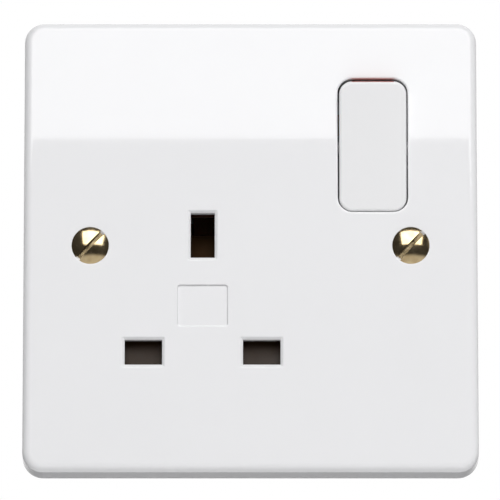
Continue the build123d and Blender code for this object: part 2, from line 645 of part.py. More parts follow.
def fixing_screws():
    """Raised countersunk slotted screws: a low dome over a cone, a narrow neck and the threaded length."""
    cone_foot = PLATE_DEPTH - (FIXING_HEAD_R - FIXING_NECK_R)
    neck_end = FIXING_BOSS_END - STRAP_T - RETAINER_T - FIXING_NECK_GAP
    tip = PLATE_DEPTH - FIXING_LENGTH
    dome_r = (FIXING_HEAD_R**2 + FIXING_DOME**2) / (2 * FIXING_DOME)
    crown = PLATE_DEPTH + FIXING_DOME
    outline = RadiusArc((0, crown), (FIXING_HEAD_R, PLATE_DEPTH), dome_r)
    outline += Polyline(
        (FIXING_HEAD_R, PLATE_DEPTH),
        (FIXING_NECK_R, cone_foot),
        (FIXING_NECK_R, neck_end + FIXING_R - FIXING_NECK_R),
        (FIXING_R, neck_end),
        (FIXING_R, tip + FIXING_TIP_BEVEL),
        (FIXING_R - FIXING_TIP_BEVEL, tip),
        (0, tip),
        (0, crown),
    )
    screw = revolve(Plane.XZ * make_face(outline), Axis.Z)
    slot = Box(3 * FIXING_HEAD_R, FIXING_SLOT_W, 2 * FIXING_SLOT_DEPTH)
    screw -= Pos(0, 0, crown) * Rot(0, 0, FIXING_SLOT_TURN) * slot
    return [Pos(x, y, 0) * screw for x, y in FIXING_PLACES]


def screw_retainers():
    """Soft washers round the fixing screws' necks, behind the strap's eyelets."""
    front = FIXING_BOSS_END - STRAP_T
    ring = post(0, 0, front - RETAINER_T, front, RETAINER_R)
    ring -= post(0, 0, front - RETAINER_T, front, FIXING_NECK_R + RETAINER_GAP)
    return [Pos(x, y, 0) * ring for x, y in FIXING_PLACES]


def case_screws():
    """Slotted screws from the back, through the case's bosses into the plate's."""
    seat = CASE_HEAD_SINK - BASE_DEPTH
    screw = post(0, 0, seat, CASE_SCREW_TIP, CASE_SCREW_R) + post(0, 0, seat - CASE_HEAD_T, seat, CASE_HEAD_R)
    slot = Pos(0, 0, seat - CASE_HEAD_T) * Box(3 * CASE_HEAD_R, CASE_SLOT_W, 2 * CASE_SLOT_DEPTH)
    return [Pos(x, y, 0) * (screw - slot) for x, y in CASE_PLACES]


def shutter():
    """Slide with a bar that slopes behind the live and neutral slots, and a ramp behind the earth slot."""
    bar_half = PIN_SPACING / 2 + SHUTTER_BAR_END
    bar_low = LINE_Y - LINE_SLOT_H / 2 - SHUTTER_LAP
    bar_high = LINE_Y + LINE_SLOT_H / 2 + SHUTTER_LAP
    stem = SHUTTER_STEM_W / 2
    opening = SHUTTER_WINDOW_W / 2
    left, right = SOCKET_X - opening, SOCKET_X + opening
    slide = block((SOCKET_X - bar_half, bar_low, SHUTTER_BACK), (SOCKET_X + bar_half, bar_high, SHUTTER_FRONT))
    slope = make_face(Polyline(
        (LINE_Y - LINE_SLOT_H / 2, SHUTTER_FRONT), (bar_high, SHUTTER_FRONT),
        (bar_high, SHUTTER_FRONT - PIN_SLOPE_DEPTH), close=True,
    ))
    slope_start = PIN_SPACING / 2 - LINE_SLOT_W / 2 - PIN_SLOPE_LAP
    for side in (-1, 1):
        middle = SOCKET_X + side * (slope_start + bar_half) / 2
        slide -= Pos(middle, 0, 0) * extrude(Plane.YZ * slope, (bar_half - slope_start) / 2, both=True)
    slide += block((SOCKET_X - stem, bar_low, SHUTTER_BACK), (SOCKET_X + stem, SHUTTER_END_Y, SHUTTER_FRONT))
    slide -= block((left, RAMP_TOP_Y, SHUTTER_BACK), (right, SHUTTER_END_Y - SHUTTER_END_T, SHUTTER_FRONT))
    root, foot = RAMP_TOP_Y - RAMP_ROOT, RAMP_TOP_Y + RAMP_RUN
    slope_end = SHUTTER_FRONT - RAMP_DEPTH
    wedge = Polyline(
        (root, SHUTTER_FRONT), (RAMP_TOP_Y, SHUTTER_FRONT), (foot, slope_end),
        (foot, slope_end - RAMP_BACK), (root, slope_end - RAMP_BACK), close=True,
    )
    slide += Pos(SOCKET_X, 0, 0) * extrude(Plane.YZ * make_face(wedge), opening, both=True)
    tab = SPRING_TAB_W / 2
    tab_foot = SPRING_Z - SHUTTER_SPRING_R - SHUTTER_SPRING_WIRE_R
    slide += block(
        (SOCKET_X - tab, SPRING_TAB_Y - SPRING_TAB_T, tab_foot), (SOCKET_X + tab, SPRING_TAB_Y, SHUTTER_FRONT)
    )
    return slide


def shutter_spring():
    """Spring between the shutter's tab and the cover's post."""
    low, high = SPRING_STOP_Y + SPRING_SEAT_GAP, SPRING_TAB_Y - SPRING_TAB_T - SPRING_SEAT_GAP
    spring = coil_spring(high - low, SHUTTER_SPRING_R, SHUTTER_SPRING_WIRE_R, SHUTTER_SPRING_TURNS)
    return Pos(SOCKET_X, low, SPRING_Z) * Rot(-90, 0, 0) * spring


def contact_cover():
    """Inner moulding over the contacts: pin holes, two stepped guide rails, an end stop and a spring post."""
    outline = Pos(SOCKET_X, (COVER_BOTTOM + COVER_TOP) / 2) * Rectangle(2 * COVER_HALF_W, COVER_TOP - COVER_BOTTOM)
    cover = prism(outline & case_outline(BASE_WALL + COVER_GAP), -COVER_T, 0)
    for hole in pin_slots(COVER_HOLE_GAP):
        cover -= prism(hole, -COVER_T, 0)
    guide = SHUTTER_STEM_W / 2 + SHUTTER_GAP
    shoulder = SHUTTER_WINDOW_W / 2 + SHUTTER_GAP
    ledge = SHUTTER_BACK - SHUTTER_GAP / 2
    for side in (-1, 1):
        rail = Polyline(
            (side * shoulder, 0), (side * shoulder, ledge), (side * guide, ledge),
            (side * guide, FACE_BACK), (side * (guide + RAIL_T), FACE_BACK), (side * (guide + RAIL_T), 0), close=True,
        )
        top_end = Plane((SOCKET_X, COVER_TOP, 0), x_dir=(1, 0, 0), z_dir=(0, -1, 0))
        cover += extrude(top_end * make_face(rail), COVER_TOP - RAIL_START)
    cover += block(
        (SOCKET_X - guide, COVER_TOP - STOP_T, 0), (SOCKET_X + guide, COVER_TOP, SHUTTER_FRONT)
    )
    tab = SPRING_TAB_W / 2
    top = SPRING_Z + SHUTTER_SPRING_R + SHUTTER_SPRING_WIRE_R
    cover += block((SOCKET_X - tab, COVER_BOTTOM, 0), (SOCKET_X + tab, SPRING_STOP_Y, top))
    return cover


PIECES = {
    "front_plate": front_plate,
    "back_moulding": back_moulding,
    "switch_rocker": switch_rocker,
    "rocker_flag": rocker_flag,
    "rocker_plunger": rocker_plunger,
    "plunger_spring": plunger_spring,
    "moving_contact": moving_contact,
    "moving_rivet": moving_rivet,
    "fixed_rivet": fixed_rivet,
    "switch_fulcrum": switch_fulcrum,
    "live_contact": live_contact,
    "neutral_contact": neutral_contact,
    "earth_contact": earth_contact,
    "terminal_screws": terminal_screws,
    "earth_strap": earth_strap,
    "earth_rivet": earth_rivet,
    "fixing_screws": fixing_screws,
    "screw_retainers": screw_retainers,
    "case_screws": case_screws,
    "shutter": shutter,
    "shutter_spring": shutter_spring,
    "contact_cover": contact_cover,
}


def stand_up(shape):
    """Turns what was modelled lying on its back to stand against the wall."""
    return Plane.XZ.location * shape


def write(name, made):
    """Writes one node, as a single solid or as a group of separate ones."""
    if isinstance(made, list):
        made = Compound(children=[stand_up(piece) for piece in made])
    else:
        made = stand_up(made)
    made.label = name
    export_step(made, f"parts/{name}.step")


os.makedirs("parts", exist_ok=True)
for piece_name, make in PIECES.items():
    write(piece_name, make())
for terminal_name in TERMINAL_PLACES:
    write(terminal_name, terminal(terminal_name))
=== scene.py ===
"""Looks of a white switched wall socket: glossy plate, rocker, gold screws and the works behind them."""

import json
import math

import bmesh
import bpy
from mathutils import Matrix, Vector

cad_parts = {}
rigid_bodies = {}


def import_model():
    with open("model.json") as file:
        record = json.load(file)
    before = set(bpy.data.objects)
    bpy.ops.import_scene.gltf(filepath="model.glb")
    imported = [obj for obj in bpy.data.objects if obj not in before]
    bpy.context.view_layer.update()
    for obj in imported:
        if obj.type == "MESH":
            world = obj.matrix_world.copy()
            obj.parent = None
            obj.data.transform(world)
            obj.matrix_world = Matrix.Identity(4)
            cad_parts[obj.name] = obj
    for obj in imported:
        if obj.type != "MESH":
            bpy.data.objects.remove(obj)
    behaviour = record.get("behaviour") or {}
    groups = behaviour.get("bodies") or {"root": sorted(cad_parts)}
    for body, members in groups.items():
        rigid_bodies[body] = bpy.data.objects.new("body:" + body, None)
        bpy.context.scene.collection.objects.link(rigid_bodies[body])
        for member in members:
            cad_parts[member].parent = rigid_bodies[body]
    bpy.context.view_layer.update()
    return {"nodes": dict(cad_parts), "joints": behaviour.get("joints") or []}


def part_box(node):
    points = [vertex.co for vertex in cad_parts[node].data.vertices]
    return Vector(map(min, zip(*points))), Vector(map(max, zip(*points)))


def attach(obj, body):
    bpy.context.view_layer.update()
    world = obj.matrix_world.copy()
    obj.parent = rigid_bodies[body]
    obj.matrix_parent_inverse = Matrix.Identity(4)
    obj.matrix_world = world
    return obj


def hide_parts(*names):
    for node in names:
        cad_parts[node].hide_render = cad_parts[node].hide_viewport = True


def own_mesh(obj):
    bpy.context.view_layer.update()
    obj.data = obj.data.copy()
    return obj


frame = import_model()
NODES = frame["nodes"]

MM = 0.001

# The camera looks up at the plate from a little below, with a long lens.
IMAGE_SIDE = 500
FOCAL_PIXELS = 5295.0
SENSOR = 36.0
CAMERA_ELEVATION = -9.3
CAMERA_DISTANCE = 1.0
CAMERA_AIM = Vector((-0.1, -4.5, -0.13)) * MM
CAMERA_NEAR = 0.05

# One large softbox, its edges in degrees: the lower one is mirrored in the upper quarter of the plate.
SOFTBOX_DISTANCE = 1.1
SOFTBOX_LOW = 11.4
SOFTBOX_HIGH = 54.0
SOFTBOX_LEFT = -28.0
SOFTBOX_RIGHT = 40.0
SOFTBOX_WATTS = 13.4

# A weak panel at the right.
FILL_SIDE = 0.9
FILL_DISTANCE = 1.2
FILL_AZIMUTH = 78.0
FILL_ELEVATION = 8.0
FILL_WATTS = 1.0

# A panel that lights the back.
BACK_SIDE = 1.2
BACK_DISTANCE = 1.2
BACK_AZIMUTH = 180.0
BACK_ELEVATION = 26.0
BACK_WATTS = 7.4

# A weak panel that lies just above the floor.
TABLE_SIDE = 0.6
TABLE_RISE = 0.01
TABLE_WATTS = 0.22

# A pale floor, which fades out between two radii.
FLOOR_DROP = 0.27
FLOOR_FADE = 0.6
FLOOR_RADIUS = 0.9
FLOOR_SIDES = 96
FLOOR_GREY = 0.82
FLOOR_ROUGHNESS = 0.7

# A dim room, paler above, with a white backdrop that gloss mirrors more the higher it looks.
ROOM_LOW = (0.05, 0.05, 0.052)
ROOM_HIGH = (0.07, 0.07, 0.072)
ROOM_SPAN = (0.15, 0.85)
BACKDROP_LOW = -0.14
BACKDROP_HIGH = 0.16

# The part of a pattern's range that a finish runs over, and its roughness at both ends as shares.
PATTERN_SPAN = (0.3, 0.7)
PLASTIC_SPREAD = (0.85, 1.15)
METAL_SPREAD = (0.8, 1.25)

# Repeats of the patterns to the metre.
CLOUD_SCALE = 60
GLOSS_SCALE = 240
MARK_SCALE = 900
PATCH_SCALE = 900

# Scale of a metal's marks, drawn out along z where strip was rolled or bar was drawn.
EVEN = (1, 1, 1)
ROLLED = (1, 1, 0.06)
DRAWN = (1, 1, 0.05)

# The lathe's rings on the fixing screws.
RING_PITCH = 0.16 * MM
RING_DEPTH = 0.004 * MM

# Radius at which the mouldings' sharp edges are shaded.
EDGE_PLATE = 0.35 * MM
EDGE_FINE = 0.12 * MM
EDGE_SAMPLES = 8

# Fixing screws: what the solids leave out is the thread, whose foot and crest are shares of its pitch.
SCREW_RADIUS = 1.75 * MM
SCREW_STEPS = 72
HEAD_RADIUS = 3.5 * MM
HEAD_DOME = 0.9 * MM
HEAD_SLOT_WIDTH = 0.9 * MM
HEAD_SLOT_DEPTH = 1.3 * MM
HEAD_SLOT_TURN = 47.0
SLOT_CUTTER_LENGTH = 3 * HEAD_RADIUS
DOME_STEPS = 14
RIM_EDGE = 0.08 * MM
TIP_BEVEL = 0.4 * MM
THREAD_PITCH = 0.6 * MM
THREAD_DEPTH = 0.33 * MM
THREAD_FOOT = 0.9
THREAD_CREST = 0.15
THREAD_START = 0.2 * MM
THREAD_FACING = -90.0
SHARP_ANGLE = 32.0
MERGE_DISTANCE = 1e-6

# Springs: joint that closes each one up, radius of its coil and of its wire, and turns.
SPRINGS = {
    "plunger_spring": ("plunger_push", 1.2 * MM, 0.2 * MM, 6),
    "shutter_spring": ("shutter_drop", 1.5 * MM, 0.22 * MM, 8),
}
TURN_STEPS = 40
WIRE_SIDES = 12


def add(tree, kind, **values):
    """A node with some of its inputs set by name."""
    node = tree.nodes.new(kind)
    for name, value in values.items():
        node.inputs[name.replace("_", " ")].default_value = value
    return node


def reckon(tree, operation, second=None, kind="ShaderNodeMath"):
    """A node for one sum, with its second value where that is fixed."""
    node = tree.nodes.new(kind)
    node.operation = operation
    if second is not None:
        node.inputs[1].default_value = second
    return node


def link_chain(tree, *pairs):
    """Links outputs to inputs in a tree."""
    for output, socket in pairs:
        tree.links.new(output, socket)


def colour_ramp(tree, span, deep, pale):
    """A node that runs from one colour to another over part of its range."""
    ramp = tree.nodes.new("ShaderNodeValToRGB")
    for stop, position, colour in zip(ramp.color_ramp.elements, span, (deep, pale)):
        stop.position = position
        stop.color = (*colour, 1)
    return ramp


def new_finish(name):
    """A material with its tree and its Principled shader."""
    material = bpy.data.materials.new(name)
    material.use_nodes = True
    return material, material.node_tree, material.node_tree.nodes["Principled BSDF"]


def object_place(tree, stretch=EVEN):
    """Object coordinates, stretched along an axis for rolled or drawn marks."""
    place = tree.nodes.new("ShaderNodeTexCoord")
    mapping = add(tree, "ShaderNodeMapping", Scale=stretch)
    tree.links.new(place.outputs["Object"], mapping.inputs["Vector"])
    return mapping.outputs["Vector"]


def noise(tree, place, scale, detail=3.0):
    """A noise pattern's grey value."""
    pattern = add(tree, "ShaderNodeTexNoise", Scale=scale, Detail=detail)
    tree.links.new(place, pattern.inputs["Vector"])
    return pattern.outputs["Fac"]


def tint(tree, value, surface, deep, pale):
    """Runs the surface's colour between two near ones by a grey value."""
    ramp = colour_ramp(tree, PATTERN_SPAN, deep, pale)
    tree.links.new(value, ramp.inputs["Fac"])
    tree.links.new(ramp.outputs["Color"], surface.inputs["Base Color"])


def shade(tree, value, surface, low, high):
    """Runs the surface's roughness between two values by a grey value."""
    start, end = PATTERN_SPAN
    span = add(tree, "ShaderNodeMapRange", From_Min=start, From_Max=end, To_Min=low, To_Max=high)
    tree.links.new(value, span.inputs["Value"])
    tree.links.new(span.outputs["Result"], surface.inputs["Roughness"])


def emboss(tree, value, surface, depth, strength):
    """Raises the surface by a pattern, depth in metres."""
    bump = add(tree, "ShaderNodeBump", Strength=strength, Distance=depth)
    tree.links.new(value, bump.inputs["Height"])
    tree.links.new(bump.outputs["Normal"], surface.inputs["Normal"])
    return bump


def soften_edges(tree, bump, radius):
    """Shades sharp edges as if the mould had rounded them, radius in metres."""
    edge = add(tree, "ShaderNodeBevel", Radius=radius)
    edge.samples = EDGE_SAMPLES
    tree.links.new(edge.outputs["Normal"], bump.inputs["Normal"])


def moulded_plastic(name, deep, pale, gloss, grain, grain_depth, index=1.5, edge=EDGE_FINE):
    """Moulded plastic: a faint cloud in the colour, uneven gloss and the mould's grain."""
    material, tree, surface = new_finish(name)
    place = object_place(tree)
    tint(tree, noise(tree, place, CLOUD_SCALE), surface, deep, pale)
    shade(tree, noise(tree, place, GLOSS_SCALE), surface, *(gloss * share for share in PLASTIC_SPREAD))
    bump = emboss(tree, noise(tree, place, grain, detail=2.0), surface, grain_depth, strength=0.5)
    soften_edges(tree, bump, edge)
    surface.inputs["IOR"].default_value = index
    return material


def worked_metal(name, deep, pale, rough, mark_depth, stretch=EVEN):
    """Rolled, drawn or turned metal: marks in its colour and in its surface."""
    material, tree, surface = new_finish(name)
    marks = noise(tree, object_place(tree, stretch), MARK_SCALE, detail=4.0)
    tint(tree, marks, surface, deep, pale)
    shade(tree, marks, surface, *(rough * share for share in METAL_SPREAD))
    emboss(tree, marks, surface, mark_depth, strength=0.4)
    surface.inputs["Metallic"].default_value = 1.0
    return material


def zinc_plate(name):
    """Zinc-plated steel: bluish patches with uneven gloss."""
    material, tree, surface = new_finish(name)
    place = object_place(tree)
    patches = add(tree, "ShaderNodeTexVoronoi", Scale=PATCH_SCALE)
    tree.links.new(place, patches.inputs["Vector"])
    tint(tree, patches.outputs["Color"], surface, deep=(0.58, 0.60, 0.63), pale=(0.68, 0.69, 0.70))
    shade(tree, noise(tree, place, scale=800), surface, low=0.26, high=0.42)
    surface.inputs["Metallic"].default_value = 1.0
    return material


def translucent_nylon(name):
    """Milky nylon that lets a little light into its depth."""
    material, tree, surface = new_finish(name)
    place = object_place(tree)
    tint(tree, noise(tree, place, scale=120), surface, deep=(0.72, 0.70, 0.62), pale=(0.80, 0.78, 0.71))
    shade(tree, noise(tree, place, scale=400), surface, low=0.36, high=0.48)
    surface.inputs["Subsurface Weight"].default_value = 0.25
    surface.inputs["Subsurface Radius"].default_value = (1.2 * MM, 1.1 * MM, 0.9 * MM)
    return material


def lacquered_gold(name):
    """Gold-lacquered screw: fine turning rings round its axis, with a little dirt in the colour."""
    material, tree, surface = new_finish(name)
    lathe = tree.nodes.new("ShaderNodeAttribute")
    lathe.attribute_name = "turned_radius"
    angle = reckon(tree, "MULTIPLY", 2 * math.pi / RING_PITCH)
    rings = reckon(tree, "SINE")
    link_chain(tree, (lathe.outputs["Fac"], angle.inputs[0]), (angle.outputs[0], rings.inputs[0]))
    emboss(tree, rings.outputs[0], surface, RING_DEPTH, strength=0.1)
    dirt = noise(tree, object_place(tree), scale=700, detail=4.0)
    tint(tree, dirt, surface, deep=(0.46, 0.345, 0.185), pale=(0.62, 0.495, 0.30))
    shade(tree, dirt, surface, low=0.10, high=0.17)
    surface.inputs["Metallic"].default_value = 1.0
    return material


def make_finishes():
    """One procedural material for each finish in the record."""
    return {
        "white_plastic": moulded_plastic(
            "white plastic",
            deep=(0.845, 0.845, 0.857),
            pale=(0.853, 0.853, 0.865),
            gloss=0.02,
            grain=700,
            grain_depth=4e-9,
            index=1.45,
            edge=EDGE_PLATE,
        ),
        "rocker_plastic": moulded_plastic(
            "rocker plastic",
            deep=(0.84, 0.84, 0.848),
            pale=(0.85, 0.85, 0.858),
            gloss=0.03,
            grain=700,
            grain_depth=4e-9,
            index=1.45,
        ),
        "red_plastic": moulded_plastic(
            "red plastic",
            deep=(0.42, 0.035, 0.012),
            pale=(0.50, 0.05, 0.018),
            gloss=0.3,
            grain=2500,
            grain_depth=2e-6,
        ),
        "case_plastic": moulded_plastic(
            "case plastic",
            deep=(0.70, 0.70, 0.69),
            pale=(0.74, 0.74, 0.73),
            gloss=0.42,
            grain=5200,
            grain_depth=1.2e-5,
        ),
        "dark_plastic": moulded_plastic(
            "brown phenolic",
            deep=(0.085, 0.030, 0.010),
            pale=(0.115, 0.044, 0.016),
            gloss=0.4,
            grain=3000,
            grain_depth=6e-6,
        ),
        "shutter_plastic": moulded_plastic(
            "shutter plastic",
            deep=(0.019, 0.009, 0.003),
            pale=(0.027, 0.013, 0.005),
            gloss=0.45,
            grain=3000,
            grain_depth=6e-6,
            index=1.28,
        ),
        "nylon": translucent_nylon("nylon"),
        "spring_steel": worked_metal(
            "spring steel",
            deep=(0.50, 0.50, 0.51),
            pale=(0.62, 0.62, 0.63),
            rough=0.28,
            mark_depth=1e-6,
        ),
        "contact_strip": worked_metal(
            "rolled bronze",
            deep=(0.66, 0.36, 0.20),
            pale=(0.80, 0.49, 0.30),
            rough=0.50,
            mark_depth=2e-6,
            stretch=ROLLED,
        ),
        "silver_contact": worked_metal(
            "contact silver",
            deep=(0.80, 0.79, 0.76),
            pale=(0.90, 0.89, 0.87),
            rough=0.22,
            mark_depth=1e-6,
        ),
        "terminal_brass": worked_metal(
            "drawn brass",
            deep=(0.68, 0.49, 0.20),
            pale=(0.82, 0.64, 0.32),
            rough=0.30,
            mark_depth=3e-6,
            stretch=DRAWN,
        ),
        "gold_screw": lacquered_gold("lacquered gold"),
        "plated_steel": zinc_plate("zinc plate"),
    }


FINISHES = make_finishes()
FINISH_NODES = {
    "white_plastic": ["front_plate"],
    "rocker_plastic": ["switch_rocker"],
    "red_plastic": ["rocker_flag"],
    "case_plastic": ["back_moulding"],
    "dark_plastic": ["contact_cover", "rocker_plunger"],
    "shutter_plastic": ["shutter"],
    "nylon": ["screw_retainers"],
    "spring_steel": ["plunger_spring", "shutter_spring"],
    "contact_strip": [
        "live_contact",
        "neutral_contact",
        "earth_contact",
        "moving_contact",
        "switch_fulcrum",
    ],
    "silver_contact": ["moving_rivet", "fixed_rivet"],
    "terminal_brass": [
        "live_terminal",
        "neutral_terminal",
        "earth_terminal",
        "terminal_screws",
        "earth_rivet",
    ],
    "gold_screw": ["fixing_screws"],
    "plated_steel": ["earth_strap", "case_screws"],
}
NODE_FINISH = {node: finish for finish, nodes in FINISH_NODES.items() for node in nodes}


def dress_nodes():
    """Gives every solid of the frame its finish."""
    for name, solid in NODES.items():
        solid.data.materials.clear()
        solid.data.materials.append(FINISHES[NODE_FINISH[name]])


def new_object(name, data):
    """An object at the origin that holds a mesh, a lamp or a camera."""
    piece = bpy.data.objects.new(name, data)
    bpy.context.scene.collection.objects.link(piece)
    return piece


def shaped_object(name, shape):
    """An object at the origin that takes over a finished shape."""
    piece = new_object(name, bpy.data.meshes.new(name))
    shape.to_mesh(piece.data)
    shape.free()
    return piece


def bake(piece, name):
    """Works a piece's modifiers into a plain mesh."""
    graph = bpy.context.evaluated_depsgraph_get()
    mesh = bpy.data.meshes.new_from_object(piece.evaluated_get(graph))
    mesh.name = name
    piece.data = mesh
    piece.modifiers.clear()


def new_tree(name, sockets, result):
    """A Geometry Nodes tree with its inputs, named with their kinds, and the geometry that it makes."""
    tree = bpy.data.node_groups.new(name, "GeometryNodeTree")
    for socket, kind in sockets.items():
        tree.interface.new_socket(socket, in_out="INPUT", socket_type=f"NodeSocket{kind}")
    tree.interface.new_socket(result, in_out="OUTPUT", socket_type="NodeSocketGeometry")
    given = tree.nodes.new("NodeGroupInput").outputs
    made = tree.nodes.new("NodeGroupOutput").inputs
    return tree, given, made


def wind(tree, profile):
    """Sweeps a profile along a right-hand helix, and gives the helix's inputs and the swept mesh."""
    helix = add(tree, "GeometryNodeCurveSpiral", Resolution=TURN_STEPS, Reverse=True)
    upright = tree.nodes.new("GeometryNodeSetCurveNormal")
    upright.mode = "Z_UP"
    wound = add(tree, "GeometryNodeCurveToMesh", Fill_Caps=True)
    link_chain(
        tree,
        (helix.outputs["Curve"], upright.inputs["Curve"]),
        (upright.outputs["Curve"], wound.inputs["Curve"]),
        (profile, wound.inputs["Profile Curve"]),
    )
    return helix.inputs, wound.outputs["Mesh"]


def end_tree(tree, geometry, material, result):
    """Ends a tree in plain meshes with their finish."""
    real = tree.nodes.new("GeometryNodeRealizeInstances")
    finish = tree.nodes.new("GeometryNodeSetMaterial")
    link_chain(
        tree,
        (geometry, real.inputs["Geometry"]),
        (real.outputs["Geometry"], finish.inputs["Geometry"]),
        (material, finish.inputs["Material"]),
        (finish.outputs["Geometry"], result),
    )


def grow(name, mesh, tree, **sizes):
    """A piece that a tree makes from a mesh, with the tree's inputs set by their identifiers."""
    piece = new_object(name, mesh)
    modifier = piece.modifiers.new(tree.name, "NODES")
    modifier.node_group = tree
    for item in tree.interface.items_tree:
        key = item.name.replace(" ", "_").lower()
        if item.in_out == "INPUT" and key in sizes:
            modifier[item.identifier] = sizes[key]
    bake(piece, name)
    return piece


def fixing_screw_outline(face, tip):
    """Half outline of a fixing screw as (radius, y), from its crown to the middle of its tip."""
    dome_radius = (HEAD_RADIUS**2 + HEAD_DOME**2) / (2 * HEAD_DOME)
    reach = math.asin(HEAD_RADIUS / dome_radius)
    crown = face - HEAD_DOME
    outline = []
    for step in range(DOME_STEPS + 1):
        angle = reach * step / DOME_STEPS
        outline.append((dome_radius * math.sin(angle), crown + dome_radius * (1 - math.cos(angle))))
    core = SCREW_RADIUS - THREAD_DEPTH
    outline += [(HEAD_RADIUS, face + RIM_EDGE), (core, face + RIM_EDGE + HEAD_RADIUS - core)]
    return outline + [(core, tip - TIP_BEVEL), (core - TIP_BEVEL, tip), (0, tip)]


def fixing_screw_blank(face, tip):
    """One fixing screw on the y axis, turned from its outline."""
    shape = bmesh.new()
    outline = [Vector((radius, y, 0)) for radius, y in fixing_screw_outline(face, tip)]
    turns = [Matrix.Rotation(2 * math.pi * step / SCREW_STEPS, 3, "Y") for step in range(SCREW_STEPS)]
    rows = [[shape.verts.new(turn @ corner) for corner in outline] for turn in turns]
    for row, after in zip(rows, rows[1:] + rows[:1]):
        for corners in zip(row, row[1:], after[1:], after):
            shape.faces.new(corners)
    bmesh.ops.remove_doubles(shape, verts=shape.verts, dist=MERGE_DISTANCE)
    bmesh.ops.recalc_face_normals(shape, faces=shape.faces)
    return shaped_object("fixing screw blank", shape)


def cut_head_slot(blank, crown):
    """Cuts the slot across the head of a blank, down from its crown."""
    shape = bmesh.new()
    size = Matrix.Diagonal((SLOT_CUTTER_LENGTH, 2 * HEAD_SLOT_DEPTH, HEAD_SLOT_WIDTH, 1))
    turn = Matrix.Rotation(math.radians(-HEAD_SLOT_TURN), 4, "Y")
    bmesh.ops.create_cube(shape, size=1, matrix=Matrix.Translation((0, crown, 0)) @ turn @ size)
    cutter = shaped_object("slot cutter", shape)
    cut = blank.modifiers.new("slot", "BOOLEAN")
    cut.object = cutter
    cut.solver = "EXACT"
    bake(blank, "slotted blank")
    bpy.data.objects.remove(cutter)


def threaded_screws_tree():
    """Tree that winds a thread on a blank and sets the screw at each point."""
    tree, given, made = new_tree(
        "threaded screws",
        {
            "Points": "Geometry",
            "Blank": "Object",
            "Core Radius": "Float",
            "Thread Depth": "Float",
            "Pitch": "Float",
            "Thread Start": "Float",
            "Thread Length": "Float",
            "Finish": "Material",
        },
        "Screws",
    )

    # The ridge, a trapezium that stands outwards from the core.
    foot = reckon(tree, "MULTIPLY", THREAD_FOOT)
    crest = reckon(tree, "MULTIPLY", THREAD_CREST)
    ridge = tree.nodes.new("GeometryNodeCurvePrimitiveQuadrilateral")
    ridge.mode = "TRAPEZOID"
    ridge.inputs["Offset"].default_value = 0.0
    outward = add(tree, "GeometryNodeTransform", Rotation=(0, 0, math.radians(THREAD_FACING)))
    link_chain(
        tree,
        (given["Pitch"], foot.inputs[0]),
        (given["Pitch"], crest.inputs[0]),
        (foot.outputs[0], ridge.inputs["Bottom Width"]),
        (crest.outputs[0], ridge.inputs["Top Width"]),
        (given["Thread Depth"], ridge.inputs["Height"]),
        (ridge.outputs["Curve"], outward.inputs["Geometry"]),
    )

    # The thread, wound half its depth outside the core and laid along y.
    helix, thread = wind(tree, outward.outputs["Geometry"])
    turns = reckon(tree, "DIVIDE")
    middle = reckon(tree, "MULTIPLY_ADD", 0.5)
    along = tree.nodes.new("ShaderNodeCombineXYZ")
    laid = add(tree, "GeometryNodeTransform", Rotation=(math.radians(-90), 0, 0))
    link_chain(
        tree,
        (given["Thread Length"], turns.inputs[0]),
        (given["Pitch"], turns.inputs[1]),
        (turns.outputs[0], helix["Rotations"]),
        (given["Thread Depth"], middle.inputs[0]),
        (given["Core Radius"], middle.inputs[2]),
        (middle.outputs[0], helix["Start Radius"]),
        (middle.outputs[0], helix["End Radius"]),
        (given["Thread Length"], helix["Height"]),
        (given["Thread Start"], along.inputs["Y"]),
        (along.outputs["Vector"], laid.inputs["Translation"]),
        (thread, laid.inputs["Geometry"]),
    )

    # Blank and thread, marked with the distance from the y axis for the lathe's rings.
    blank = tree.nodes.new("GeometryNodeObjectInfo")
    whole = tree.nodes.new("GeometryNodeJoinGeometry")
    place = tree.nodes.new("GeometryNodeInputPosition")
    flat = reckon(tree, "MULTIPLY", (1, 0, 1), kind="ShaderNodeVectorMath")
    radius = reckon(tree, "LENGTH", kind="ShaderNodeVectorMath")
    marked = add(tree, "GeometryNodeStoreNamedAttribute", Name="turned_radius")
    spread = tree.nodes.new("GeometryNodeInstanceOnPoints")
    link_chain(
        tree,
        (given["Blank"], blank.inputs["Object"]),
        (blank.outputs["Geometry"], whole.inputs["Geometry"]),
        (laid.outputs["Geometry"], whole.inputs["Geometry"]),
        (place.outputs["Position"], flat.inputs[0]),
        (flat.outputs["Vector"], radius.inputs[0]),
        (whole.outputs["Geometry"], marked.inputs["Geometry"]),
        (radius.outputs["Value"], marked.inputs["Value"]),
        (given["Points"], spread.inputs["Points"]),
        (marked.outputs["Geometry"], spread.inputs["Instance"]),
    )
    end_tree(tree, spread.outputs["Instances"], given["Finish"], made["Screws"])
    return tree


def make_fixing_screws():
    """Both fixing screws with their threads, in place of the plain solids."""
    low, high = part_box("fixing_screws")
    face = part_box("front_plate")[0].y
    spacing = high.x - low.x - 2 * HEAD_RADIUS
    middle = (low + high) / 2
    places = bpy.data.meshes.new("screw places")
    places.from_pydata([(middle.x + side * spacing / 2, 0, middle.z) for side in (-1, 1)], [], [])
    blank = fixing_screw_blank(face, high.y)
    cut_head_slot(blank, face - HEAD_DOME)
    screws = grow(
        "fixing_screws_threaded",
        places,
        threaded_screws_tree(),
        blank=blank,
        core_radius=SCREW_RADIUS - THREAD_DEPTH,
        thread_depth=THREAD_DEPTH,
        pitch=THREAD_PITCH,
        thread_start=THREAD_START,
        thread_length=high.y - TIP_BEVEL - THREAD_PITCH - THREAD_START,
        finish=FINISHES["gold_screw"],
    )
    bpy.data.objects.remove(blank)
    screws.data.shade_smooth()
    screws.data.set_sharp_from_angle(angle=math.radians(SHARP_ANGLE))
    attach(screws, "housing")
    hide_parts("fixing_screws")


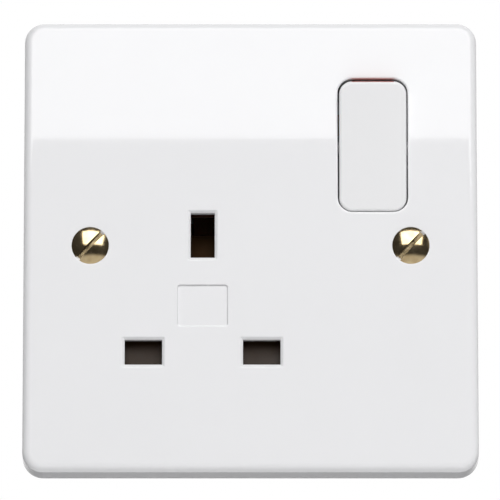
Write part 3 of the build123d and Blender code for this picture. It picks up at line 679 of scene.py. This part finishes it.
def coil_spring_tree():
    """Tree that winds a wire into a spring that stands on z = 0, with its wire inside that length."""
    tree, given, made = new_tree(
        "coil spring",
        {
            "Coil Radius": "Float",
            "Wire Radius": "Float",
            "Turns": "Float",
            "Length": "Float",
            "Finish": "Material",
        },
        "Spring",
    )

    # The helix rises by the length less half a wire at each end.
    rise = reckon(tree, "MULTIPLY_ADD", -2.0)
    wire = add(tree, "GeometryNodeCurvePrimitiveCircle", Resolution=WIRE_SIDES)
    helix, coil = wind(tree, wire.outputs["Curve"])
    up = tree.nodes.new("ShaderNodeCombineXYZ")
    stood = tree.nodes.new("GeometryNodeTransform")
    link_chain(
        tree,
        (given["Wire Radius"], rise.inputs[0]),
        (given["Length"], rise.inputs[2]),
        (given["Turns"], helix["Rotations"]),
        (given["Coil Radius"], helix["Start Radius"]),
        (given["Coil Radius"], helix["End Radius"]),
        (rise.outputs[0], helix["Height"]),
        (given["Wire Radius"], wire.inputs["Radius"]),
        (given["Wire Radius"], up.inputs["Z"]),
        (up.outputs["Vector"], stood.inputs["Translation"]),
        (coil, stood.inputs["Geometry"]),
    )
    end_tree(tree, stood.outputs["Geometry"], given["Finish"], made["Spring"])
    return tree


def make_springs():
    """Both springs, each wound along its joint's axis, in place of the stiff solids."""
    tree = coil_spring_tree()
    joints = {joint["name"]: joint for joint in frame["joints"]}
    for node, (joint_name, coil_radius, wire_radius, turns) in SPRINGS.items():
        joint = joints[joint_name]
        travel = Vector(joint["axis"]).normalized()
        low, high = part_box(node)
        middle = (low + high) / 2
        reach = [(vertex.co - middle).dot(travel) for vertex in NODES[node].data.vertices]
        length = max(reach) - min(reach)
        foot, seat = middle - travel * length / 2, middle + travel * length / 2
        spring = grow(
            f"{node}_coil",
            bpy.data.meshes.new(f"{node} place"),
            tree,
            coil_radius=coil_radius,
            wire_radius=wire_radius,
            turns=float(turns),
            length=length,
            finish=FINISHES["spring_steel"],
        )
        turn = travel.to_track_quat("Z", "Y").to_matrix().to_4x4()
        spring.data.transform(Matrix.Translation(foot) @ turn)
        spring.data.shade_smooth()
        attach(spring, joint["parent"])
        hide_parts(node)
        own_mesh(spring)


def studio_place(elevation, distance, azimuth=0.0):
    """A point round the object, with azimuth 0 in front of the plate."""
    turn, rise = math.radians(azimuth), math.radians(elevation)
    level = math.cos(rise)
    return distance * Vector((math.sin(turn) * level, -math.cos(turn) * level, math.sin(rise)))


def make_camera():
    """The camera at the photograph's angle."""
    camera = new_object("camera", bpy.data.cameras.new("camera"))
    offset = studio_place(CAMERA_ELEVATION, CAMERA_DISTANCE)
    camera.location = CAMERA_AIM + offset
    camera.rotation_euler = (-offset).to_track_quat("-Z", "Y").to_euler()
    camera.data.sensor_width = SENSOR
    camera.data.lens = FOCAL_PIXELS / IMAGE_SIDE * SENSOR
    camera.data.clip_start = CAMERA_NEAR
    bpy.context.scene.camera = camera


def make_softbox(name, place, aim, width, height, watts, mirrored=True):
    """A flat panel light that faces the object, that the camera doesn't see and that gloss may mirror."""
    data = bpy.data.lights.new(name, "AREA")
    data.shape = "RECTANGLE"
    data.size = width
    data.size_y = height
    data.energy = watts
    panel = new_object(name, data)
    panel.location = place
    panel.rotation_euler = (-aim).to_track_quat("-Z", "Y").to_euler()
    panel.visible_camera = False
    panel.visible_glossy = mirrored


def make_lights():
    """The large softbox in front, weak panels at the right and below, and one that lights the back."""
    middle = (SOFTBOX_LOW + SOFTBOX_HIGH) / 2
    centre = studio_place(middle, SOFTBOX_DISTANCE)
    reach = SOFTBOX_DISTANCE * math.cos(math.radians(middle))
    left, right = (reach * math.tan(math.radians(edge)) for edge in (SOFTBOX_LEFT, SOFTBOX_RIGHT))
    height = 2 * SOFTBOX_DISTANCE * math.tan(math.radians(SOFTBOX_HIGH - SOFTBOX_LOW) / 2)
    shift = Vector(((left + right) / 2, 0, 0))
    make_softbox("softbox", centre + shift, centre, right - left, height, SOFTBOX_WATTS)
    side = studio_place(FILL_ELEVATION, FILL_DISTANCE, FILL_AZIMUTH)
    make_softbox("side panel", side, side, FILL_SIDE, FILL_SIDE, FILL_WATTS)
    back = studio_place(BACK_ELEVATION, BACK_DISTANCE, BACK_AZIMUTH)
    make_softbox("back panel", back, back, BACK_SIDE, BACK_SIDE, BACK_WATTS, mirrored=False)
    below = Vector((0, 0, TABLE_RISE - FLOOR_DROP))
    make_softbox("table panel", below, below, TABLE_SIDE, TABLE_SIDE, TABLE_WATTS)


def make_world():
    """White background for the camera, and a dim room that lights the object softly from all round."""
    world = bpy.data.worlds.new("studio")
    bpy.context.scene.world = world
    world.use_nodes = True
    tree = world.node_tree
    room = tree.nodes["Background"]
    backdrop = add(tree, "ShaderNodeBackground", Color=(1, 1, 1, 1), Strength=1.0)
    mix = tree.nodes.new("ShaderNodeMixShader")
    rays = tree.nodes.new("ShaderNodeLightPath")
    place = tree.nodes.new("ShaderNodeTexCoord")
    split = tree.nodes.new("ShaderNodeSeparateXYZ")
    rise = colour_ramp(tree, ROOM_SPAN, ROOM_LOW, ROOM_HIGH)
    level = add(tree, "ShaderNodeMapRange", From_Min=-1.0, From_Max=1.0)
    behind = reckon(tree, "GREATER_THAN", 0.0)
    above = add(tree, "ShaderNodeMapRange", From_Min=BACKDROP_LOW, From_Max=BACKDROP_HIGH)
    upper_back = reckon(tree, "MULTIPLY")
    mirrored = reckon(tree, "MULTIPLY")
    seen = reckon(tree, "ADD")
    clear = reckon(tree, "ADD")
    clear.use_clamp = True
    link_chain(
        tree,
        (place.outputs["Generated"], split.inputs["Vector"]),
        (split.outputs["Z"], level.inputs["Value"]),
        (level.outputs["Result"], rise.inputs["Fac"]),
        (rise.outputs["Color"], room.inputs["Color"]),
        (split.outputs["Y"], behind.inputs[0]),
        (split.outputs["Z"], above.inputs["Value"]),
        (behind.outputs[0], upper_back.inputs[0]),
        (above.outputs["Result"], upper_back.inputs[1]),
        (upper_back.outputs[0], mirrored.inputs[0]),
        (rays.outputs["Is Glossy Ray"], mirrored.inputs[1]),
        (rays.outputs["Is Camera Ray"], seen.inputs[0]),
        (mirrored.outputs[0], seen.inputs[1]),
        (seen.outputs[0], clear.inputs[0]),
        (rays.outputs["Is Transmission Ray"], clear.inputs[1]),
        (clear.outputs[0], mix.inputs["Fac"]),
        (room.outputs["Background"], mix.inputs[1]),
        (backdrop.outputs["Background"], mix.inputs[2]),
        (mix.outputs["Shader"], tree.nodes["World Output"].inputs["Surface"]),
    )


def make_floor():
    """A pale floor that fades out at its edge and lets the camera look up through it."""
    shape = bmesh.new()
    bmesh.ops.create_circle(shape, cap_ends=True, segments=FLOOR_SIDES, radius=FLOOR_RADIUS)
    bmesh.ops.translate(shape, verts=shape.verts, vec=(0, 0, -FLOOR_DROP))
    floor = shaped_object("floor", shape)
    material, tree, surface = new_finish("pale floor")
    surface.inputs["Base Color"].default_value = (FLOOR_GREY, FLOOR_GREY, FLOOR_GREY, 1)
    surface.inputs["Roughness"].default_value = FLOOR_ROUGHNESS
    place = tree.nodes.new("ShaderNodeTexCoord")
    away = reckon(tree, "LENGTH", kind="ShaderNodeVectorMath")
    fade = add(tree, "ShaderNodeMapRange", From_Min=FLOOR_FADE, From_Max=FLOOR_RADIUS)
    facing = tree.nodes.new("ShaderNodeNewGeometry")
    hidden = reckon(tree, "MAXIMUM")
    gone = tree.nodes.new("ShaderNodeBsdfTransparent")
    mix = tree.nodes.new("ShaderNodeMixShader")
    link_chain(
        tree,
        (place.outputs["Object"], away.inputs[0]),
        (away.outputs["Value"], fade.inputs["Value"]),
        (fade.outputs["Result"], hidden.inputs[0]),
        (facing.outputs["Backfacing"], hidden.inputs[1]),
        (hidden.outputs[0], mix.inputs["Fac"]),
        (surface.outputs["BSDF"], mix.inputs[1]),
        (gone.outputs["BSDF"], mix.inputs[2]),
        (mix.outputs["Shader"], tree.nodes["Material Output"].inputs["Surface"]),
    )
    floor.data.materials.append(material)


bpy.context.scene.view_settings.view_transform = "Standard"
dress_nodes()
make_fixing_screws()
make_springs()
make_camera()
make_lights()
make_world()
make_floor()
